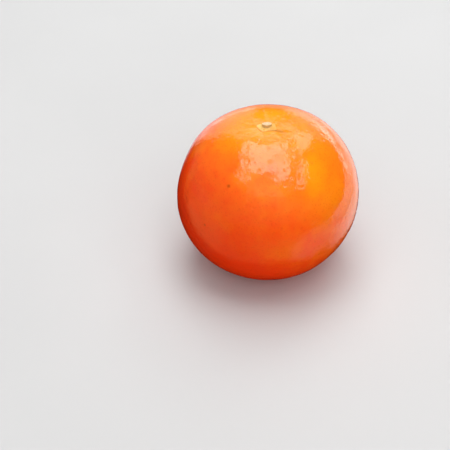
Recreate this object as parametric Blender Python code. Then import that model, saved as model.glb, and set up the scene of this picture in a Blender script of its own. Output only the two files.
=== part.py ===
# Seminole tangelo: a round, slightly flattened citrus fruit with its button and its clipped stalk.
# Metres, +Z up. The fruit stands on the small flat spot at its blossom end, which is centred on the
# origin, and its stem end is on top. The -Y side is the one that the photograph shows.
import math

import bmesh
import bpy
from mathutils import Vector

# The fruit. The globe is measured before its flat spot and its stem hollow are taken off.
FRUIT_WIDTH = 0.080
GLOBE_HEIGHT = 0.0744
FULLNESS = 2.1  # 2 gives an ellipse, and more gives fuller shoulders
FLAT_SPOT_RADIUS = 0.0105
HOLLOW_DEPTH = 0.0027
HOLLOW_RADIUS = 0.016
PLEAT_DEPTH = 0.00015
PLEAT_REACH = 0.0075  # where the pleats are deepest, out from the stem
FURROW_DEPTH = 0.0002
FURROW_WIDTH = 0.0007
FURROW_LENGTH = 0.0017
FURROW_REACH = 0.0057  # the middle of the furrow, out from the stem
FURROW_TURN = math.radians(-25)
SWELL_HEIGHT = 0.00055
FLANK_DEPTH = 0.0013  # how much flatter one flank is than the rest
FLANK_SPREAD = math.radians(20)
FLANK_DOWN = math.radians(75)
FLANK_TURN = math.radians(168)

# The button
LOBES = 5
FIRST_LOBE = math.radians(175)
LOBE_CROWDING = 1.15  # the lobes at the back stand closer together
NOTCH_REACH = 0.0031  # from the stem to the notch between two lobes
LOBE_REACH = 0.0038
BUTTON_STRETCH = 0.2  # the button is longer from left to right than from front to back
SEAT_THICKNESS = 0.0008
SEAT_RADIUS = 0.0022  # level, as a seat for the stalk
LOBE_THICKNESS = 0.0004

# The stalk
STALK_RADIUS = 0.0021
STALK_HEIGHT = 0.0010  # at the middle of the cut, above the foot
STALK_WAIST = 0.92  # of the stalk's radius
CUT_SLOPE = 0.28  # the clippers' cut rises towards -Y
CUT_EDGE = 0.00015

# Touching pieces keep this gap.
GAP = 0.0003

# How finely the surfaces are cut
FRUIT_SIDES = 90
FRUIT_RINGS = 40
FRUIT_CAP_RADIUS = 0.0016
RING_CROWDING = 1.3  # more than 1 brings the rings closer together towards the stem
BUTTON_SIDES = 60
BUTTON_RINGS = 5
STALK_SIDES = 36
SHARP_ANGLE = math.radians(40)

HALF_WIDTH = FRUIT_WIDTH / 2
HALF_HEIGHT = GLOBE_HEIGHT / 2
# The globe's centre stands so high that the ground cuts it at the flat spot's radius.
CENTRE_HEIGHT = HALF_HEIGHT * (1 - (FLAT_SPOT_RADIUS / HALF_WIDTH) ** FULLNESS) ** (1 / FULLNESS)
FLAT_SPOT_ANGLE = math.pi - math.atan2(FLAT_SPOT_RADIUS, CENTRE_HEIGHT)


def clear_scene():
    for old in list(bpy.data.objects):
        bpy.data.objects.remove(old, do_unlink=True)


def material(name, colour, roughness):
    """An opaque finish with no metal in it."""
    finish = bpy.data.materials.new(name)
    finish.use_nodes = True
    shader = finish.node_tree.nodes["Principled BSDF"]
    shader.inputs["Base Color"].default_value = (*colour, 1)
    shader.inputs["Roughness"].default_value = roughness
    shader.inputs["Metallic"].default_value = 0
    return finish


def circle(sides, point_at):
    """One ring of points, from a function of the angle around it."""
    return [point_at(2 * math.pi * side / sides) for side in range(sides)]


def level(ring, height):
    """The same ring with all its points at one height, so that it takes a flat cap."""
    return [Vector((point.x, point.y, height)) for point in ring]


def mean_height(ring):
    return sum(point.z for point in ring) / len(ring)


def loft(name, rings, finish, parent):
    """A closed solid: rings of points joined one to the next, with a cap on the first and the last."""
    shape = bmesh.new()
    loops = [[shape.verts.new(point) for point in ring] for ring in rings]
    for here, there in zip(loops, loops[1:]):
        for side in range(len(here)):
            after = (side + 1) % len(here)
            shape.faces.new((here[side], here[after], there[after], there[side]))
    shape.faces.new(loops[0])
    shape.faces.new(loops[-1])
    bmesh.ops.recalc_face_normals(shape, faces=shape.faces)
    mesh = bpy.data.meshes.new(name)
    shape.to_mesh(mesh)
    shape.free()
    mesh.shade_smooth()
    mesh.set_sharp_from_angle(angle=SHARP_ANGLE)
    mesh.materials.append(finish)
    piece = bpy.data.objects.new(name, mesh)
    piece.parent = parent
    bpy.context.collection.objects.link(piece)
    return piece


def globe_radius(down):
    """Distance from the globe's centre to its surface, at an angle down from the stem."""
    across = abs(math.sin(down)) / HALF_WIDTH
    along = abs(math.cos(down)) / HALF_HEIGHT
    return (across ** FULLNESS + along ** FULLNESS) ** (-1 / FULLNESS)


def swell(down, around):
    """Low, broad unevenness of the flanks, which dies away towards both ends."""
    wave = 0.5 * math.cos(2 * around - 0.5)
    wave += 0.3 * math.cos(3 * around + 2.4 + down)
    wave += 0.2 * math.cos(5 * around + 4.0 - 2 * down)
    return SWELL_HEIGHT * wave * math.sin(down) ** 2


def flat_flank(down, around):
    """How far the one flatter flank lies inside the globe."""
    level_part = math.sin(down) * math.sin(FLANK_DOWN) * math.cos(around - FLANK_TURN)
    closeness = level_part + math.cos(down) * math.cos(FLANK_DOWN)
    return FLANK_DEPTH * math.exp(-2 * (1 - closeness) / FLANK_SPREAD ** 2)


def hollow(out):
    """Depth of the wide, shallow stem hollow at a distance out from the stem."""
    return HOLLOW_DEPTH * math.exp(-((out / HOLLOW_RADIUS) ** 2))


def pleat(out, around):
    """Depth of the short, uneven pleats that run out from the button."""
    ripple = 0.6 * math.cos(7 * around + 0.5) + 0.4 * math.cos(10 * around + 2.0)
    share = out / PLEAT_REACH
    fade = share ** 3 * math.exp(1.5 * (1 - share ** 2))
    return PLEAT_DEPTH * fade * (0.5 + 0.5 * ripple) ** 2


def furrow(out, around):
    """Depth of the one short furrow that runs out from the button, a little deeper than the pleats."""
    along = out * math.cos(around - FURROW_TURN) - FURROW_REACH
    aside = out * math.sin(around - FURROW_TURN)
    return FURROW_DEPTH * math.exp(-((along / FURROW_LENGTH) ** 2) - (aside / FURROW_WIDTH) ** 2)


def rind_point(down, around):
    """The point on the rind at an angle down from the stem and an angle around it."""
    radius = globe_radius(down) + swell(down, around) - flat_flank(down, around)
    out = radius * math.sin(down)
    height = CENTRE_HEIGHT + radius * math.cos(down)
    if down < math.pi / 2:
        height -= hollow(out) + pleat(out, around) + furrow(out, around)
    return Vector((out * math.cos(around), out * math.sin(around), height))


def make_fruit(parent):
    """The whole fruit as one solid, from a small level cap under the button to the flat spot."""
    start = math.asin(FRUIT_CAP_RADIUS / HALF_HEIGHT)
    rings = []
    for step in range(FRUIT_RINGS + 1):
        down = start + (FLAT_SPOT_ANGLE - start) * (step / FRUIT_RINGS) ** RING_CROWDING
        rings.append(circle(FRUIT_SIDES, lambda around: rind_point(down, around)))
    rings[0] = level(rings[0], mean_height(rings[0]))
    rings[-1] = level(rings[-1], 0)
    return loft("fruit", rings, material("orange_rind", (0.90, 0.13, 0.008), 0.3), parent)


def button_reach(around):
    """How far the button reaches from the stem: five blunt lobes on a rounded, slightly long shape."""
    turn = around - FIRST_LOBE
    wave = 0.5 + 0.5 * math.cos(LOBES * turn + LOBE_CROWDING * math.sin(turn + 1.75))
    stretch = 1 + BUTTON_STRETCH * math.cos(2 * around)
    return (NOTCH_REACH + (LOBE_REACH - NOTCH_REACH) * wave) * stretch


def button_under(share, around):
    """The button's underside at a share of its reach: it follows the rind."""
    down = math.asin(share * button_reach(around) / HALF_HEIGHT)
    return rind_point(down, around) + Vector((0, 0, GAP))


def button_top(share, around):
    """The button's top: a level seat in the middle, and thin lobes that slope down to the rind."""
    point = button_under(share, around)
    lobe_top = point.z + LOBE_THICKNESS
    reach = button_reach(around)
    blend = max(0, share * reach - SEAT_RADIUS) / (reach - SEAT_RADIUS)
    point.z = seat_height() + (lobe_top - seat_height()) * blend
    return point


def seat_height():
    """The height of the level seat in the middle of the button."""
    return rind_point(0, 0).z + GAP + SEAT_THICKNESS


def make_calyx(parent):
    """The button that lies on the rind: its underside runs out to the rim, and its top runs back."""
    shares = [(step + 0.5) / (BUTTON_RINGS + 0.5) for step in range(BUTTON_RINGS + 1)]
    rings = [circle(BUTTON_SIDES, lambda around: button_under(share, around)) for share in shares]
    rings[0] = level(rings[0], mean_height(rings[0]))
    for share in reversed(shares):
        rings.append(circle(BUTTON_SIDES, lambda around: button_top(share, around)))
    return loft("calyx", rings, material("green_button", (0.42, 0.36, 0.09), 0.6), parent)


def stalk_point(radius, share, around):
    """A point on the stub at a share of the way up from its foot to the slanting cut."""
    across = radius * math.cos(around)
    along = radius * math.sin(around)
    return Vector((across, along, seat_height() + GAP + share * (STALK_HEIGHT - CUT_SLOPE * along)))


def make_stalk(parent):
    """The clipped stub on the button's seat: a short stem with a waist, and a cut face on a slant."""
    waist = STALK_RADIUS * STALK_WAIST
    profile = [
        (STALK_RADIUS, 0),
        (waist, 0.3),
        (waist, 0.55),
        (STALK_RADIUS, 0.88),
        (STALK_RADIUS - CUT_EDGE, 1),
    ]
    rings = [
        circle(STALK_SIDES, lambda around: stalk_point(radius, share, around)) for radius, share in profile
    ]
    return loft("stalk", rings, material("cut_stalk", (0.74, 0.60, 0.36), 0.7), parent)


def build():
    clear_scene()
    tangelo = bpy.data.objects.new("tangelo", None)
    bpy.context.collection.objects.link(tangelo)
    make_fruit(tangelo)
    make_calyx(tangelo)
    make_stalk(tangelo)


build()
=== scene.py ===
import math

import bpy
import numpy as np
from mathutils import Matrix, Quaternion, Vector


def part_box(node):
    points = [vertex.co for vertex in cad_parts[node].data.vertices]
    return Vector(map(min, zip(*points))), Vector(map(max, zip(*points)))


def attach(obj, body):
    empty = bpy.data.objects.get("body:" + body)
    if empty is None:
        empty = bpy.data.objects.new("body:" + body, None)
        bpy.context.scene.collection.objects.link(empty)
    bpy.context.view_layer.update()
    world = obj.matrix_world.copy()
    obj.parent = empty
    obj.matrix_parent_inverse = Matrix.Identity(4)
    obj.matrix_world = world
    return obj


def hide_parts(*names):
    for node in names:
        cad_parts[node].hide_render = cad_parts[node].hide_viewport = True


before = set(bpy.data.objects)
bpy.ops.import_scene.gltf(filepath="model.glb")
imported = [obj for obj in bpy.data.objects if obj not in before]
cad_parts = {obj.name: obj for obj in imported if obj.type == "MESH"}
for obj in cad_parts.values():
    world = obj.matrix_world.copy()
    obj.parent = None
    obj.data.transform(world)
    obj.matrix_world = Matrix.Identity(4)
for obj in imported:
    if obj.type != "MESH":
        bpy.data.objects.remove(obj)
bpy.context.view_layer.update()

# The view. The fruit is seen from above its shoulder through a long lens, so its outline is nearly that
# of the fruit itself. It stands a little right of the middle of the picture and above it, so the camera
# is aimed below it and to its left. The camera leans a little, and so the stem end does in the picture.
FRUIT_WIDTH = 0.080
PICTURE_PIXELS = 450
FRUIT_PIXELS = 181
FRUIT_PIXEL_X = 266.9
FRUIT_PIXEL_Y = 192.0
VIEW_RISE = math.radians(38.5)
VIEW_LEAN = math.radians(-2.0)
LENS_MM = 100
SENSOR_MM = 36

fruit_low, fruit_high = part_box("fruit")
fruit_middle = (fruit_low + fruit_high) / 2
pixel = FRUIT_WIDTH / FRUIT_PIXELS
view_back = Vector((0, -math.cos(VIEW_RISE), math.sin(VIEW_RISE)))
lean = Matrix.Rotation(VIEW_LEAN, 3, view_back)
view_right = lean @ Vector((1, 0, 0))
view_up = lean @ Vector((0, math.sin(VIEW_RISE), math.cos(VIEW_RISE)))
viewpoint = fruit_middle + view_back * pixel * PICTURE_PIXELS * LENS_MM / SENSOR_MM
aim = fruit_middle - view_right * pixel * (FRUIT_PIXEL_X - PICTURE_PIXELS / 2)
aim += view_up * pixel * (FRUIT_PIXEL_Y - PICTURE_PIXELS / 2)
view_turn = (viewpoint - aim).to_track_quat("Z", "Y") @ Quaternion((0, 0, 1), VIEW_LEAN)
bpy.ops.object.camera_add(location=viewpoint, rotation=view_turn.to_euler())
camera = bpy.context.object
camera.data.lens = LENS_MM
camera.data.sensor_width = SENSOR_MM
bpy.context.scene.camera = camera
bpy.context.scene.view_settings.view_transform = "Standard"

# The light. A big soft box slopes over the fruit, with narrow ones on the right and walls of light behind.
# Two wide fills, in front and low on the right, don't show in the shine. The room is grey above and warm
# below, with a pale backdrop behind the fruit and to its right.
PALE_TONE = 0.88
ROOM_TONE = 0.21
ROOM_SHADE = 0.05
BACKDROP_TONE = 1.45
SKYLINE_TONE = 1.9
HAZE_TONE = 0.95
GLINT_TONE = 0.9
FLUSH = (0.45, 0.38, 0.12)
GLOW = (0.60, 0.26, 0.06)
GLOOM = (0.10, 0.012, 0.004)
BACKDROP_SIDE = (0.85, 0.52, 0)
BACKDROP_TOP = (-0.34, 0.33, -0.88)
BACKDROP_FOOT = (0.6, 0, 1)
SKYLINE_SIDE = (0.643, 0.766, 0)
SKYLINE_BEND = 0.62  # how far to the right the gap and the skyline start to slope down
SKYLINE_SLOPE = 1.6
SKYLINE_LEVEL = 1.08
GAP_LEVEL = 0.88
GLOOM_SIDE = (0.40, 0.68, -0.61)
SHADE_SIDE = (0.75, 0.60, 0.20)
HAZE_SIDE = (-0.05, 0.96, -0.27)
GLINT_SIDE = (0.66, -0.38, -0.65)
FLUSH_SIDE = (-0.93, -0.20, -0.33)


def node(tree, kind, sockets=None, **settings):
    """A new node. Each socket is given a value, or another node's output to be linked to."""
    made = tree.nodes.new(kind)
    for name, value in settings.items():
        setattr(made, name, value)
    for name, value in (sockets or {}).items():
        if isinstance(value, bpy.types.NodeSocket):
            tree.links.new(value, made.inputs[name])
        else:
            made.inputs[name].default_value = value
    return made


def fade(tree, value, start, end, low=0.0, high=1.0):
    """A value turned smoothly from low at start to high at end."""
    made = node(
        tree,
        "ShaderNodeMapRange",
        {"Value": value, "From Min": start, "From Max": end, "To Min": low, "To Max": high},
        interpolation_type="SMOOTHSTEP",
    )
    return made.outputs["Result"]


def combine(tree, kind, first, second):
    """Two values joined by the given kind of Math node."""
    return node(tree, "ShaderNodeMath", {0: first, 1: second}, operation=kind).outputs["Value"]


def measure(tree, kind, first, second=(0, 0, 0)):
    """A number from one vector or two: their dot product or distance, or the length of the first."""
    made = node(tree, "ShaderNodeVectorMath", {0: first, 1: second}, operation=kind)
    return made.outputs["Value"]


def blend_colours(tree, share, first, second, kind="MIX"):
    """Two colours mixed by a share. Each is a colour or another node's output."""
    made = node(tree, "ShaderNodeMix", data_type="RGBA", blend_type=kind)
    for index, value in ((0, share), (6, first), (7, second)):
        if isinstance(value, bpy.types.NodeSocket):
            tree.links.new(value, made.inputs[index])
        elif index:
            made.inputs[index].default_value = (*value, 1)
        else:
            made.inputs[index].default_value = value
    return made.outputs[2]


def soft_box(name, start, end, across, radiance):
    """A rectangle of even light between the middles of two edges, in metres from the fruit. Across gives
    the length and direction of these edges."""
    start, end, across = Vector(start), Vector(end), Vector(across)
    middle = (start + end) / 2
    along = (end - start).normalized()
    aside = (across - along * across.dot(along)).normalized()
    if aside.cross(along).dot(middle) < 0:
        aside.negate()
    turn = Matrix((aside, along, aside.cross(along))).transposed()
    bpy.ops.object.light_add(type="AREA", location=fruit_middle + middle, rotation=turn.to_euler())
    box = bpy.context.object
    box.name = name
    box.visible_camera = False
    box.data.shape = "RECTANGLE"
    box.data.size = across.length
    box.data.size_y = (end - start).length
    box.data.energy = radiance * math.pi * box.data.size * box.data.size_y
    return box


soft_box("overhead_box", (0.02, -0.15, 1.60), (0.02, 3.55, 4.05), (1.28, 0, 0), 4.4)
soft_box("overhead_low", (0.12, -0.38, 1.45), (0.12, -0.15, 1.60), (1.08, 0, 0), 4.4)
soft_box("overhead_edge", (-0.72, -0.10, 1.63), (-0.72, 3.55, 4.05), (0.20, 0, 0), 1.1)
soft_box("overhead_left", (-0.69, -0.66, 1.26), (-0.69, -0.10, 1.63), (0.24, 0, 0), 2.8)
soft_box("overhead_right", (0.45, -0.64, 1.27), (0.45, -0.38, 1.45), (0.42, 0, 0), 4.4)
soft_box("overhead_front", (-0.05, -1.13, 0.95), (-0.05, -0.38, 1.45), (1.00, 0, 0), 0.45)
soft_box("side_box_front", (1.12, -0.86, 1.13), (1.12, 0.43, 1.98), (0.35, 0, 0), 3.1)
soft_box("side_box_middle", (1.16, 0.72, 2.18), (1.16, 1.06, 2.40), (0.40, 0, 0), 2.7)
soft_box("side_box_back", (1.36, 1.27, 2.54), (0.57, 1.49, 1.16), (0.60, 0, -0.28), 2.8)
soft_box("back_wall_high", (-0.03, 1.74, 1.66), (-0.03, 1.87, 1.50), (1.29, 0, 0), 1.35)
soft_box("back_band_left", (-0.60, 1.87, 1.50), (-0.60, 1.99, 1.34), (0.80, 0, 0), 1.35)
soft_box("back_band_right", (0.13, 1.87, 1.50), (0.13, 1.99, 1.34), (0.64, 0, 0), 2.1)
soft_box("back_wall_left", (-0.73, 2.01, 1.34), (-0.73, 2.43, -0.21), (1.20, 0.40, 0.11), 0.9)
soft_box("back_wall_foot", (-1.05, 2.38, -0.21), (-1.05, 2.48, -0.65), (0.75, 0.25, 0.05), 0.9)
soft_box("back_wall_right", (0.88, 1.94, 1.34), (0.88, 2.38, -0.21), (1.17, -0.47, -0.13), 0.60)
front_fill = soft_box("front_fill", (0.30, -2.05, 0.75), (0.30, -1.40, 2.05), (2.3, 0.4, -0.2), 1.80)
low_fill = soft_box("low_fill", (2.05, -1.30, -0.01), (2.05, -1.11, 0.68), (1.00, 1.58, -0.44), 2.05)
for fill in (front_fill, low_fill):
    fill.visible_glossy = False

room = bpy.data.worlds.new("room")
room.use_nodes = True
room_tree = room.node_tree
direction = node(room_tree, "ShaderNodeTexCoord").outputs["Generated"]


def toward(side, start, end, low=0.0, high=1.0):
    """A value that goes from low to high as a direction in the room turns to one side."""
    return fade(room_tree, measure(room_tree, "DOT_PRODUCT", direction, side), start, end, low, high)


def along_level(level, start, end, low, high):
    """A value that goes from low on the line at one level of the room to high beside it."""
    away = combine(room_tree, "SUBTRACT", room_level, level)
    away = node(room_tree, "ShaderNodeMath", {0: away}, operation="ABSOLUTE").outputs["Value"]
    return fade(room_tree, away, start, end, low, high)


room_right = measure(room_tree, "DOT_PRODUCT", direction, (1, 0, 0))
room_up = measure(room_tree, "DOT_PRODUCT", direction, (0, 0, 1))
room_level = combine(room_tree, "MAXIMUM", room_right, SKYLINE_BEND)
room_level = combine(room_tree, "MULTIPLY", room_level, SKYLINE_SLOPE)
room_level = combine(room_tree, "ADD", room_level, room_up)
backdrop = toward(BACKDROP_SIDE, 0.50, 0.80, 0, 0.85)
for limit in (
    toward(BACKDROP_TOP, -0.08, 0.02),
    toward(BACKDROP_FOOT, -0.55, -0.42),
    along_level(GAP_LEVEL, 0.02, 0.08, 0.3, 1),
):
    backdrop = combine(room_tree, "MULTIPLY", backdrop, limit)
skyline = along_level(SKYLINE_LEVEL, 0.04, 0.09, 0.9, 0)
skyline = combine(room_tree, "MULTIPLY", skyline, toward(SKYLINE_SIDE, 0.945, 0.972))
haze = toward(HAZE_SIDE, 0.915, 0.96)
haze = combine(room_tree, "MULTIPLY", haze, toward((1, 0, 0), -0.25, 0.05, 0.85, 0.4))
glint = toward(GLINT_SIDE, 0.91, 0.99, 0, 0.6)
flush = toward(FLUSH_SIDE, 0.86, 0.98)
ceiling = toward(SHADE_SIDE, -0.4, 0.5, ROOM_TONE, ROOM_SHADE)
ground = blend_colours(room_tree, toward(GLOOM_SIDE, 0.12, 0.26), GLOW, GLOOM)
surroundings = blend_colours(room_tree, toward((0, 0, -1), 0.0, 0.15), ceiling, ground)
for share, tone in (
    (backdrop, (BACKDROP_TONE,) * 3),
    (skyline, (SKYLINE_TONE,) * 3),
    (haze, (HAZE_TONE,) * 3),
    (glint, (GLINT_TONE,) * 3),
    (flush, FLUSH),
):
    surroundings = blend_colours(room_tree, share, surroundings, tone, "ADD")
unseen = node(room_tree, "ShaderNodeLightPath").outputs["Is Camera Ray"]
surroundings = blend_colours(room_tree, unseen, surroundings, (PALE_TONE,) * 3)
room_tree.links.new(surroundings, room_tree.nodes["Background"].inputs["Color"])
bpy.context.scene.world = room


# The rind. It is one thick, glossy skin that grew with the fruit, drawn in round the stem and a little
# flat where the fruit stands. Broad swells and low bumps break its shine, and each oil gland under it
# leaves a shallow pit.
GLOBE_HEIGHT = 0.0744
FULLNESS = 2.1
FLAT_SPOT_RADIUS = 0.0105
FLAT_SPOT_EDGE = 0.00035  # how softly the flat spot runs into the globe
HOLLOW_DEPTH = 0.0027
HOLLOW_RADIUS = 0.016
PLEAT_DEPTH = 0.00015
PLEAT_REACH = 0.0075
FURROW_DEPTH = 0.0002
FURROW_WIDTH = 0.0007
FURROW_LENGTH = 0.0017
FURROW_REACH = 0.0057
FURROW_TURN = math.radians(-25)
SWELL_HEIGHT = 0.00055
FLANK_DEPTH = 0.0013
FLANK_SPREAD = math.radians(20)
FLANK_DOWN = math.radians(75)
FLANK_TURN = math.radians(168)
SCAR_DEPTH = 0.0004
SCAR_RADIUS = 0.0016
STREAK_SIZE = (0.0036, 0.0013, 0.0030)
STREAK_HEIGHT = 0.0705
# the way in which the rind is painted yellower, as painted light on its lit side
PAINTED_LIGHT_SIDE = (1, 0, 1.3)
LOW_SIDE = (0.6, 0, 1)
STEM_YELLOW_CENTRE = (-0.004, 0.002, 0.071)
GLAND_SCALE = 820
DIMPLE_SCALE = 270
RIND_SHINE = 0.5
MARK_DULLING = 0.45
STREAK_DULLING = 0.40
HALF_WIDTH = FRUIT_WIDTH / 2
HALF_HEIGHT = GLOBE_HEIGHT / 2
CENTRE_HEIGHT = HALF_HEIGHT * (1 - (FLAT_SPOT_RADIUS / HALF_WIDTH) ** FULLNESS) ** (1 / FULLNESS)


def read_points(piece):
    """A mesh's vertices as rows of x, y and z."""
    points = np.empty(len(piece.data.vertices) * 3)
    piece.data.vertices.foreach_get("co", points)
    return points.reshape(-1, 3)


def place_points(piece, points):
    """Puts a mesh's vertices at these rows of x, y and z."""
    piece.data.vertices.foreach_set("co", points.ravel())
    piece.data.update()


def hollow(out):
    """Depth of the wide, shallow stem hollow at a distance out from the stem."""
    return HOLLOW_DEPTH * np.exp(-((out / HOLLOW_RADIUS) ** 2))


def pleat(out, around):
    """Depth of the short, uneven pleats that run out from the button."""
    ripple = 0.6 * np.cos(7 * around + 0.5) + 0.4 * np.cos(10 * around + 2.0)
    share = out / PLEAT_REACH
    swell = share ** 3 * np.exp(1.5 * (1 - share ** 2))
    return PLEAT_DEPTH * swell * (0.5 + 0.5 * ripple) ** 2


def furrow(out, around):
    """Depth of the one short furrow that runs out from the button, a little deeper than the pleats."""
    along = out * np.cos(around - FURROW_TURN) - FURROW_REACH
    aside = out * np.sin(around - FURROW_TURN)
    return FURROW_DEPTH * np.exp(-((along / FURROW_LENGTH) ** 2) - (aside / FURROW_WIDTH) ** 2)


def flat_flank(down, around):
    """How far the one flatter flank lies inside the globe."""
    level_part = np.sin(down) * math.sin(FLANK_DOWN) * np.cos(around - FLANK_TURN)
    closeness = level_part + np.cos(down) * math.cos(FLANK_DOWN)
    return FLANK_DEPTH * np.exp(-2 * (1 - closeness) / FLANK_SPREAD ** 2)


def rind_surface(down, around):
    """Points on the rind at angles down from the stem and angles around it."""
    across = np.abs(np.sin(down)) / HALF_WIDTH
    along = np.abs(np.cos(down)) / HALF_HEIGHT
    swell = 0.5 * np.cos(2 * around - 0.5)
    swell += 0.3 * np.cos(3 * around + 2.4 + down)
    swell += 0.2 * np.cos(5 * around + 4.0 - 2 * down)
    radius = (across ** FULLNESS + along ** FULLNESS) ** (-1 / FULLNESS)
    radius += SWELL_HEIGHT * swell * np.sin(down) ** 2 - flat_flank(down, around)
    out = radius * np.sin(down)
    height = CENTRE_HEIGHT + radius * np.cos(down)
    upper = down < math.pi / 2
    height -= np.where(upper, hollow(out) + pleat(out, around) + furrow(out, around), 0)
    scar = SCAR_DEPTH * np.exp(-((out / SCAR_RADIUS) ** 2))
    height = np.where(upper, height, FLAT_SPOT_EDGE * np.logaddexp(0, height / FLAT_SPOT_EDGE) + scar)
    return np.stack([out * np.cos(around), out * np.sin(around), height], axis=-1)


def roughen(piece, name, kind, grain, depth, level=0.5):
    """Moves a surface in and out by a solid texture, and makes the change part of the mesh."""
    texture = bpy.data.textures.new(name, kind)
    texture.noise_scale = grain
    relief = piece.modifiers.new(name, "DISPLACE")
    relief.texture = texture
    relief.texture_coords = "LOCAL"
    relief.strength = depth
    relief.mid_level = level
    bpy.context.view_layer.objects.active = piece
    bpy.ops.object.modifier_apply(modifier=relief.name)


def new_finish(name):
    """A material, its node tree, its shader and the coordinates of the piece itself."""
    finish = bpy.data.materials.new(name)
    finish.use_nodes = True
    tree = finish.node_tree
    shader = tree.nodes["Principled BSDF"]
    place = node(tree, "ShaderNodeTexCoord").outputs["Object"]
    return finish, tree, shader, place


def join(tree, kind, first, second):
    """Two vectors joined by the given kind of Vector Math node."""
    return node(tree, "ShaderNodeVectorMath", {0: first, 1: second}, operation=kind).outputs["Vector"]


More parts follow.
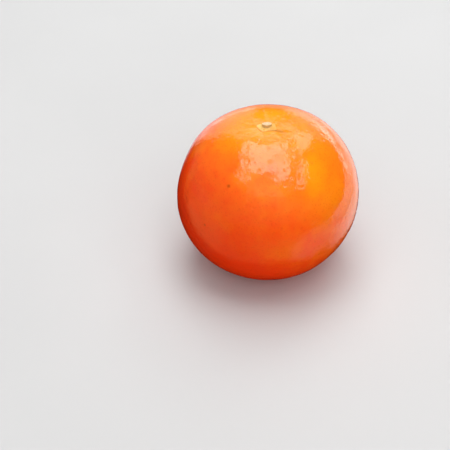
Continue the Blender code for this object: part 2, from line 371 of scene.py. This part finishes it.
def rind_finish():
    """Deep orange-red, yellower round the stem, dotted by its oil glands. It is painted yellower towards the
    upper right as painted light, and redder low down as painted shade. Its yellow patches are partly its own
    uneven colour and partly painted reflection, and the pale patch under the button is painted reflection.
    Its patches and its small brown marks are each given by a centre, a reach, a strength and a tint."""
    painted_shade_orange = (0.93, 0.049, 0.003)
    painted_lit_orange = (0.95, 0.19, 0.005)
    painted_shade_red = (0.92, 0.028, 0.002)
    stem_yellow = (0.95, 0.31, 0.004)
    yellow_and_painted_glow = (0.95, 0.36, 0.003)
    painted_pale_reflection = (0.95, 0.42, 0.10)
    # Yellow patches, partly the skin's own uneven colour and partly painted reflection of warm light; the
    # redder one low in front is painted shade.
    patches = (
        ((0.0008, -0.0310, 0.0600), (0.0130, 0.0050, 0.0050), 0.22, yellow_and_painted_glow),
        ((0.0192, -0.0222, 0.0612), (0.0062, 0.0110, 0.0090), 0.50, yellow_and_painted_glow),
        ((0.0022, 0.0110, 0.0704), (0.0100, 0.0065, 0.0060), 0.50, yellow_and_painted_glow),
        ((0.0175, -0.0080, 0.0675), (0.0130, 0.0180, 0.0100), 0.22, yellow_and_painted_glow),
        ((-0.0285, 0.0005, 0.0630), (0.0090, 0.0100, 0.0080), 0.24, yellow_and_painted_glow),
        ((-0.0100, -0.0255, 0.0645), (0.0075, 0.0065, 0.0060), 0.30, yellow_and_painted_glow),
        ((-0.0180, -0.0290, 0.0510), (0.0140, 0.0120, 0.0120), 0.09, yellow_and_painted_glow),
        ((0.0280, -0.0230, 0.0540), (0.0070, 0.0090, 0.0080), 0.25, yellow_and_painted_glow),
        ((0.0060, -0.0380, 0.0430), (0.0140, 0.0100, 0.0090), 0.25, painted_shade_red),
        # painted reflection: a pale patch on the rind under the button's front
        ((-0.0014, -0.0022, 0.0706), (0.0068, 0.0044, 0.0040), 0.50, painted_pale_reflection),
    )
    gland = (0.62, 0.035, 0.002)
    dark_speck = (0.30, 0.040, 0.001)
    brown = (0.62, 0.19, 0.01)
    marks = (
        ((-0.0160, -0.0267, 0.0603), 0.00080, 0.65, dark_speck),
        ((-0.0262, -0.0291, 0.0417), 0.00070, 0.65, dark_speck),
        ((-0.0083, -0.0182, 0.0683), 0.00160, 0.75, brown),
        ((-0.0060, -0.0188, 0.0684), 0.00100, 0.50, brown),
        ((0.0012, -0.0204, 0.0680), 0.00140, 0.60, brown),
        ((0.0049, -0.0182, 0.0687), 0.00280, 0.35, brown),
        ((0.0008, -0.0137, 0.0701), 0.00120, 0.60, brown),
        ((-0.0034, -0.0240, 0.0660), 0.00120, 0.60, brown),
        ((0.0162, -0.0147, 0.0675), 0.00110, 0.60, brown),
        ((0.0089, -0.0188, 0.0680), 0.00110, 0.40, brown),
        ((0.0122, -0.0167, 0.0680), 0.00220, 0.40, brown),
        ((0.0200, -0.0118, 0.0668), 0.00100, 0.45, brown),
    )
    painted_furrow_shade = (0.50, 0.19, 0.02)
    furrow_side = FURROW_REACH * math.sin(FURROW_TURN)
    furrow_middle = (FURROW_REACH * math.cos(FURROW_TURN), furrow_side, STREAK_HEIGHT)
    finish, tree, shader, place = new_finish("glossy_rind")
    # Painted light: the rind is painted yellower towards the upper right, where the light falls strongest,
    # with a random cloud of tone in it.
    cloud = node(tree, "ShaderNodeTexNoise", {"Vector": place, "Scale": 45, "Detail": 4, "Roughness": 0.7})
    painted_light_share = combine(tree, "MULTIPLY", cloud.outputs["Fac"], 0.10)
    painted_light_share = combine(tree, "ADD", painted_light_share, measure(tree, "DOT_PRODUCT", place, PAINTED_LIGHT_SIDE))
    colour = blend_colours(tree, fade(tree, painted_light_share, 0.075, 0.157), painted_shade_orange, painted_lit_orange)
    # Painted shade: the rind is painted redder and darker low down.
    height = measure(tree, "DOT_PRODUCT", place, LOW_SIDE)
    colour = blend_colours(tree, fade(tree, height, 0.010, 0.038, 0.52, 0.0), colour, painted_shade_red)
    from_stem = measure(tree, "DISTANCE", place, STEM_YELLOW_CENTRE)
    colour = blend_colours(tree, fade(tree, from_stem, 0.004, 0.029, 0.8, 0.0), colour, stem_yellow)
    sway = node(tree, "ShaderNodeTexNoise", {"Vector": place, "Scale": 130, "Detail": 2}).outputs["Color"]
    for centre, reach, strength, tint in patches:
        offset = join(tree, "SUBTRACT", place, centre)
        offset = join(tree, "DIVIDE", offset, reach)
        offset = join(tree, "ADD", offset, sway)
        share = fade(tree, measure(tree, "DISTANCE", offset, (0.5, 0.5, 0.5)), 0.3, 1.2, strength, 0.0)
        colour = blend_colours(tree, share, colour, tint)
    glands = node(tree, "ShaderNodeTexVoronoi", {"Vector": place, "Scale": GLAND_SCALE, "Randomness": 0.9})
    gland_dot = fade(tree, glands.outputs["Distance"], 0.10, 0.42, 1.0, 0.0)
    colour = blend_colours(tree, combine(tree, "MULTIPLY", gland_dot, 0.18), colour, gland)
    shine = RIND_SHINE
    for centre, reach, strength, tint in marks:
        share = fade(tree, measure(tree, "DISTANCE", place, centre), reach * 0.2, reach * 1.4, strength, 0.0)
        colour = blend_colours(tree, share, colour, tint)
        shine = combine(tree, "SUBTRACT", shine, combine(tree, "MULTIPLY", share, MARK_DULLING))
    # Painted shade: the rind is painted darker and duller along the short furrow by the button.
    offset = join(tree, "SUBTRACT", place, furrow_middle)
    turned = node(tree, "ShaderNodeVectorRotate", {"Vector": offset, "Angle": -FURROW_TURN})
    offset = join(tree, "DIVIDE", turned.outputs["Vector"], STREAK_SIZE)
    share = fade(tree, measure(tree, "LENGTH", offset), 0.2, 1.3, 0.90, 0.0)
    colour = blend_colours(tree, share, colour, painted_furrow_shade)
    shine = combine(tree, "SUBTRACT", shine, combine(tree, "MULTIPLY", share, STREAK_DULLING))
    dimples = node(tree, "ShaderNodeTexVoronoi", {"Vector": place, "Scale": DIMPLE_SCALE, "Randomness": 1.0})
    dimple = fade(tree, dimples.outputs["Distance"], 0.0, 0.28, 1.0, 0.0)
    colour = blend_colours(tree, combine(tree, "MULTIPLY", dimple, 0.10), colour, gland)
    tree.links.new(colour, shader.inputs["Base Color"])
    tree.links.new(shine, shader.inputs["Specular IOR Level"])
    waxiness = node(tree, "ShaderNodeTexNoise", {"Vector": place, "Scale": 160, "Detail": 3})
    tree.links.new(fade(tree, waxiness.outputs["Fac"], 0.3, 0.7, 0.09, 0.16), shader.inputs["Roughness"])
    grain = node(tree, "ShaderNodeTexNoise", {"Vector": place, "Scale": 2600, "Detail": 2})
    grain_bump = node(
        tree, "ShaderNodeBump", {"Height": grain.outputs["Fac"], "Distance": 0.00002, "Strength": 0.4}
    )
    gland_bump = node(
        tree,
        "ShaderNodeBump",
        {"Height": gland_dot, "Distance": 0.00003, "Strength": 0.7, "Normal": grain_bump.outputs["Normal"]},
        invert=True,
    )
    dimple_bump = node(
        tree,
        "ShaderNodeBump",
        {"Height": dimple, "Distance": 0.00014, "Strength": 0.6, "Normal": gland_bump.outputs["Normal"]},
        invert=True,
    )
    tree.links.new(dimple_bump.outputs["Normal"], shader.inputs["Normal"])
    shader.inputs["IOR"].default_value = 1.5
    shader.inputs["Subsurface Weight"].default_value = 0.12
    shader.inputs["Subsurface Radius"].default_value = (1.0, 0.3, 0.1)
    shader.inputs["Subsurface Scale"].default_value = 0.003
    return finish


bpy.ops.object.select_all(action="DESELECT")
bpy.ops.mesh.primitive_cube_add(size=2)
rind = bpy.context.object
rind.name = "rind"
bpy.ops.object.mode_set(mode="EDIT")
bpy.ops.mesh.subdivide(number_cuts=15)
bpy.ops.mesh.subdivide(number_cuts=7)
bpy.ops.object.mode_set(mode="OBJECT")
spread = np.tan(read_points(rind) * math.pi / 4)  # brings the faces to one size on the globe
rind_down = np.arctan2(np.hypot(spread[:, 0], spread[:, 1]), spread[:, 2])
rind_around = np.arctan2(spread[:, 1], spread[:, 0])
place_points(rind, rind_surface(rind_down, rind_around))
roughen(rind, "low_bumps", "CLOUDS", grain=0.0080, depth=0.00026, level=0.65)
roughen(rind, "small_bumps", "CLOUDS", grain=0.0026, depth=0.00009)
roughen(rind, "gland_pits", "VORONOI", grain=0.0017, depth=0.00007)
standing = read_points(rind)
standing[:, 2] = np.maximum(standing[:, 2], 0)
place_points(rind, standing)
bpy.ops.object.shade_smooth()
rind.data.materials.append(rind_finish())
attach(rind, "root")
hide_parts("fruit")

# The button. Five thick green lobes are all that is left of the flower's cup. It stays on the fruit when
# the stalk is clipped, pressed onto the rind at the bottom of the stem hollow, and dries to straw and tan.
LOBES = 5
FIRST_LOBE = math.radians(175)
LOBE_CROWDING = 1.15
NOTCH_REACH = 0.0031
LOBE_REACH = 0.0038
BUTTON_STRETCH = 0.2
SEAT_RADIUS = 0.0022
SEAT_HEIGHT = 0.0011
LOBE_THICKNESS = 0.00035
BUTTON_SINK = 0.00015
BUTTON_LIFT = 0.0001  # how far the lobes' tips stand off the rind
RIB_HEIGHT = 0.00012
TAN_SIDE = (60, 0, 0)


def button_reach(around):
    """How far the button reaches from the stem: five blunt lobes on a rounded, slightly long shape."""
    turn = around - FIRST_LOBE
    wave = 0.5 + 0.5 * np.cos(LOBES * turn + LOBE_CROWDING * np.sin(turn + 1.75))
    stretch = 1 + BUTTON_STRETCH * np.cos(2 * around)
    return (NOTCH_REACH + (LOBE_REACH - NOTCH_REACH) * wave) * stretch, wave


def button_surface(globe):
    """Presses a unit globe down into the button: its top half is the top, and its equator the rim."""
    around = np.arctan2(globe[:, 1], globe[:, 0])
    share = np.hypot(globe[:, 0], globe[:, 1]).clip(0, 1) ** 0.6
    reach, wave = button_reach(around)
    under = rind_surface(np.arcsin(share * reach / HALF_HEIGHT), around)
    seat = rind_surface(np.zeros(1), np.zeros(1))[0, 2] + SEAT_HEIGHT
    blend = np.maximum(0, share * reach - SEAT_RADIUS) / (reach - SEAT_RADIUS)
    lift = BUTTON_LIFT * share ** 4
    rib = RIB_HEIGHT * wave * np.sin(math.pi * share)
    top = seat * (1 - blend) + (under[:, 2] + lift + LOBE_THICKNESS) * blend + rib
    bottom = under[:, 2] + lift - BUTTON_SINK
    side = 0.5 + 0.5 * np.sign(globe[:, 2]) * np.abs(globe[:, 2]) ** 0.5
    return np.column_stack([under[:, 0], under[:, 1], bottom + (top - bottom) * side])


def button_finish():
    """Straw on one side and a dull tan on the other, flecked with brown where it is driest."""
    straw = (0.90, 0.56, 0.16)
    tan = (0.73, 0.35, 0.06)
    dry = (0.30, 0.14, 0.04)
    finish, tree, shader, place = new_finish("dried_button")
    cloud = node(tree, "ShaderNodeTexNoise", {"Vector": place, "Scale": 600, "Detail": 4})
    dulled = combine(tree, "ADD", cloud.outputs["Fac"], measure(tree, "DOT_PRODUCT", place, TAN_SIDE))
    colour = blend_colours(tree, fade(tree, dulled, 0.36, 0.64), straw, tan)
    speckle = node(tree, "ShaderNodeTexNoise", {"Vector": place, "Scale": 2600, "Detail": 3})
    colour = blend_colours(tree, fade(tree, speckle.outputs["Fac"], 0.58, 0.72, 0.0, 0.6), colour, dry)
    tree.links.new(colour, shader.inputs["Base Color"])
    tree.links.new(fade(tree, cloud.outputs["Fac"], 0.3, 0.7, 0.55, 0.75), shader.inputs["Roughness"])
    relief = node(
        tree, "ShaderNodeBump", {"Height": speckle.outputs["Fac"], "Distance": 0.0001, "Strength": 0.6}
    )
    tree.links.new(relief.outputs["Normal"], shader.inputs["Normal"])
    return finish


bpy.ops.object.select_all(action="DESELECT")
bpy.ops.mesh.primitive_uv_sphere_add(segments=160, ring_count=56, radius=1)
button = bpy.context.object
button.name = "button"
place_points(button, button_surface(read_points(button)))
roughen(button, "wrinkles", "CLOUDS", grain=0.0008, depth=0.00016)
bpy.ops.object.shade_smooth()
button.data.materials.append(button_finish())
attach(button, "root")
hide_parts("calyx")

# The clipped stalk. The clippers leave a woody stub of it: thin bark, dried to tan, round pale wood with a
# soft pith in the middle. It grows out of the button, and its cut slopes down to the back.
STALK_RADIUS = 0.0021
STALK_HEIGHT = 0.0008
STALK_SINK = 0.0006
STALK_STEPS = ((0.25, 0.94), (0.30, 0.97), (0.25, 1.02), (0.20, 1.06))  # each step's rise and widening
CUT_SLOPE = 0.28
CUT_DROP = 0.0001  # how far the cut lies below its full height, to leave room for its fibres
CUT_RIM = 0.00016
CUT_RING = 0.0003
CUT_RINGS = 5
stalk_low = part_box("stalk")[0]


def stalk_finish():
    """Tan bark outside, and a cream cut face that is paler at the pith and tan at its rim."""
    bark = (0.60, 0.41, 0.14)
    bark_dry = (0.72, 0.49, 0.21)
    wood = (0.70, 0.50, 0.29)
    pith = (0.74, 0.56, 0.36)
    finish, tree, shader, place = new_finish("clipped_stalk")
    cut = measure(tree, "DOT_PRODUCT", place, (0, CUT_SLOPE, 1))
    out = measure(tree, "LENGTH", join(tree, "MULTIPLY", place, (1, 1, 0)))
    grain = node(tree, "ShaderNodeTexNoise", {"Vector": place, "Scale": 2400, "Detail": 3})
    bark_colour = blend_colours(tree, fade(tree, grain.outputs["Fac"], 0.35, 0.65), bark, bark_dry)
    face = blend_colours(tree, fade(tree, out, 0.0004, 0.0007), pith, wood)
    face = blend_colours(tree, fade(tree, grain.outputs["Fac"], 0.5, 0.75, 0.0, 0.35), face, bark_dry)
    face = blend_colours(tree, fade(tree, out, 0.0018, 0.0021), face, bark_colour)
    cut_height = stalk_low.z + STALK_HEIGHT
    on_top = fade(tree, cut, cut_height - 0.0003, cut_height - 0.00018)
    colour = blend_colours(tree, on_top, bark_colour, face)
    tree.links.new(colour, shader.inputs["Base Color"])
    tree.links.new(fade(tree, grain.outputs["Fac"], 0.3, 0.7, 0.6, 0.85), shader.inputs["Roughness"])
    relief = node(
        tree, "ShaderNodeBump", {"Height": grain.outputs["Fac"], "Distance": 0.0001, "Strength": 0.7}
    )
    tree.links.new(relief.outputs["Normal"], shader.inputs["Normal"])
    return finish


bpy.ops.object.select_all(action="DESELECT")
bpy.ops.mesh.primitive_circle_add(vertices=64, radius=STALK_RADIUS, fill_type="NGON")
stalk = bpy.context.object
stalk.name = "clipped_stalk"
bpy.ops.object.mode_set(mode="EDIT")
bpy.ops.mesh.select_mode(type="FACE")
bpy.ops.mesh.select_all(action="SELECT")
for share, width in STALK_STEPS:
    bpy.ops.mesh.extrude_region_move(TRANSFORM_OT_translate={"value": (0, 0, share)})
    bpy.ops.transform.resize(value=(width, width, 1), center_override=(0, 0, 0))
bpy.ops.mesh.inset(thickness=CUT_RIM)
for ring in range(CUT_RINGS):
    bpy.ops.mesh.inset(thickness=CUT_RING)
bpy.ops.mesh.select_all(action="SELECT")
bpy.ops.mesh.normals_make_consistent(inside=False)
bpy.ops.object.mode_set(mode="OBJECT")
stalk_points = read_points(stalk)
stalk_rise = STALK_SINK + STALK_HEIGHT - CUT_DROP - CUT_SLOPE * stalk_points[:, 1]
stalk_points[:, 2] = stalk_low.z - STALK_SINK + stalk_points[:, 2] * stalk_rise
place_points(stalk, stalk_points)
stalk_bevel = stalk.modifiers.new("worn_edges", "BEVEL")
stalk_bevel.width = 0.00008
stalk_bevel.segments = 2
stalk_bevel.angle_limit = math.radians(40)
bpy.ops.object.modifier_apply(modifier=stalk_bevel.name)
roughen(stalk, "cut_fibres", "CLOUDS", grain=0.0005, depth=0.00010)
bpy.ops.object.shade_smooth()
stalk.data.materials.append(stalk_finish())
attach(stalk, "root")
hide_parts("stalk")

# The surface. The fruit stands on a plain pale table top, which fades into the room's own pale tone. It
# takes the fruit's shadow but isn't mirrored in the rind: the room's warm glow is, as in the photograph.
TABLE_RADIUS = 1.6
TABLE_FADE = (0.22, 0.60)
TABLE_TONES = (0.54, 0.56)
bpy.ops.object.select_all(action="DESELECT")
bpy.ops.mesh.primitive_circle_add(vertices=96, radius=TABLE_RADIUS, fill_type="NGON")
table = bpy.context.object
table.name = "table_top"
table.visible_glossy = False
table_finish, table_tree, table_shader, table_place = new_finish("pale_table")
table_cloud = node(table_tree, "ShaderNodeTexNoise", {"Vector": table_place, "Scale": 6, "Detail": 2})
table_share = fade(table_tree, table_cloud.outputs["Fac"], 0.3, 0.7)
table_colour = blend_colours(table_tree, table_share, (TABLE_TONES[0],) * 3, (TABLE_TONES[1],) * 3)
table_tree.links.new(table_colour, table_shader.inputs["Base Color"])
table_shader.inputs["Roughness"].default_value = 0.7
table_out = measure(table_tree, "LENGTH", table_place)
table_tree.links.new(fade(table_tree, table_out, *TABLE_FADE, 1.0, 0.0), table_shader.inputs["Alpha"])
table.data.materials.append(table_finish)
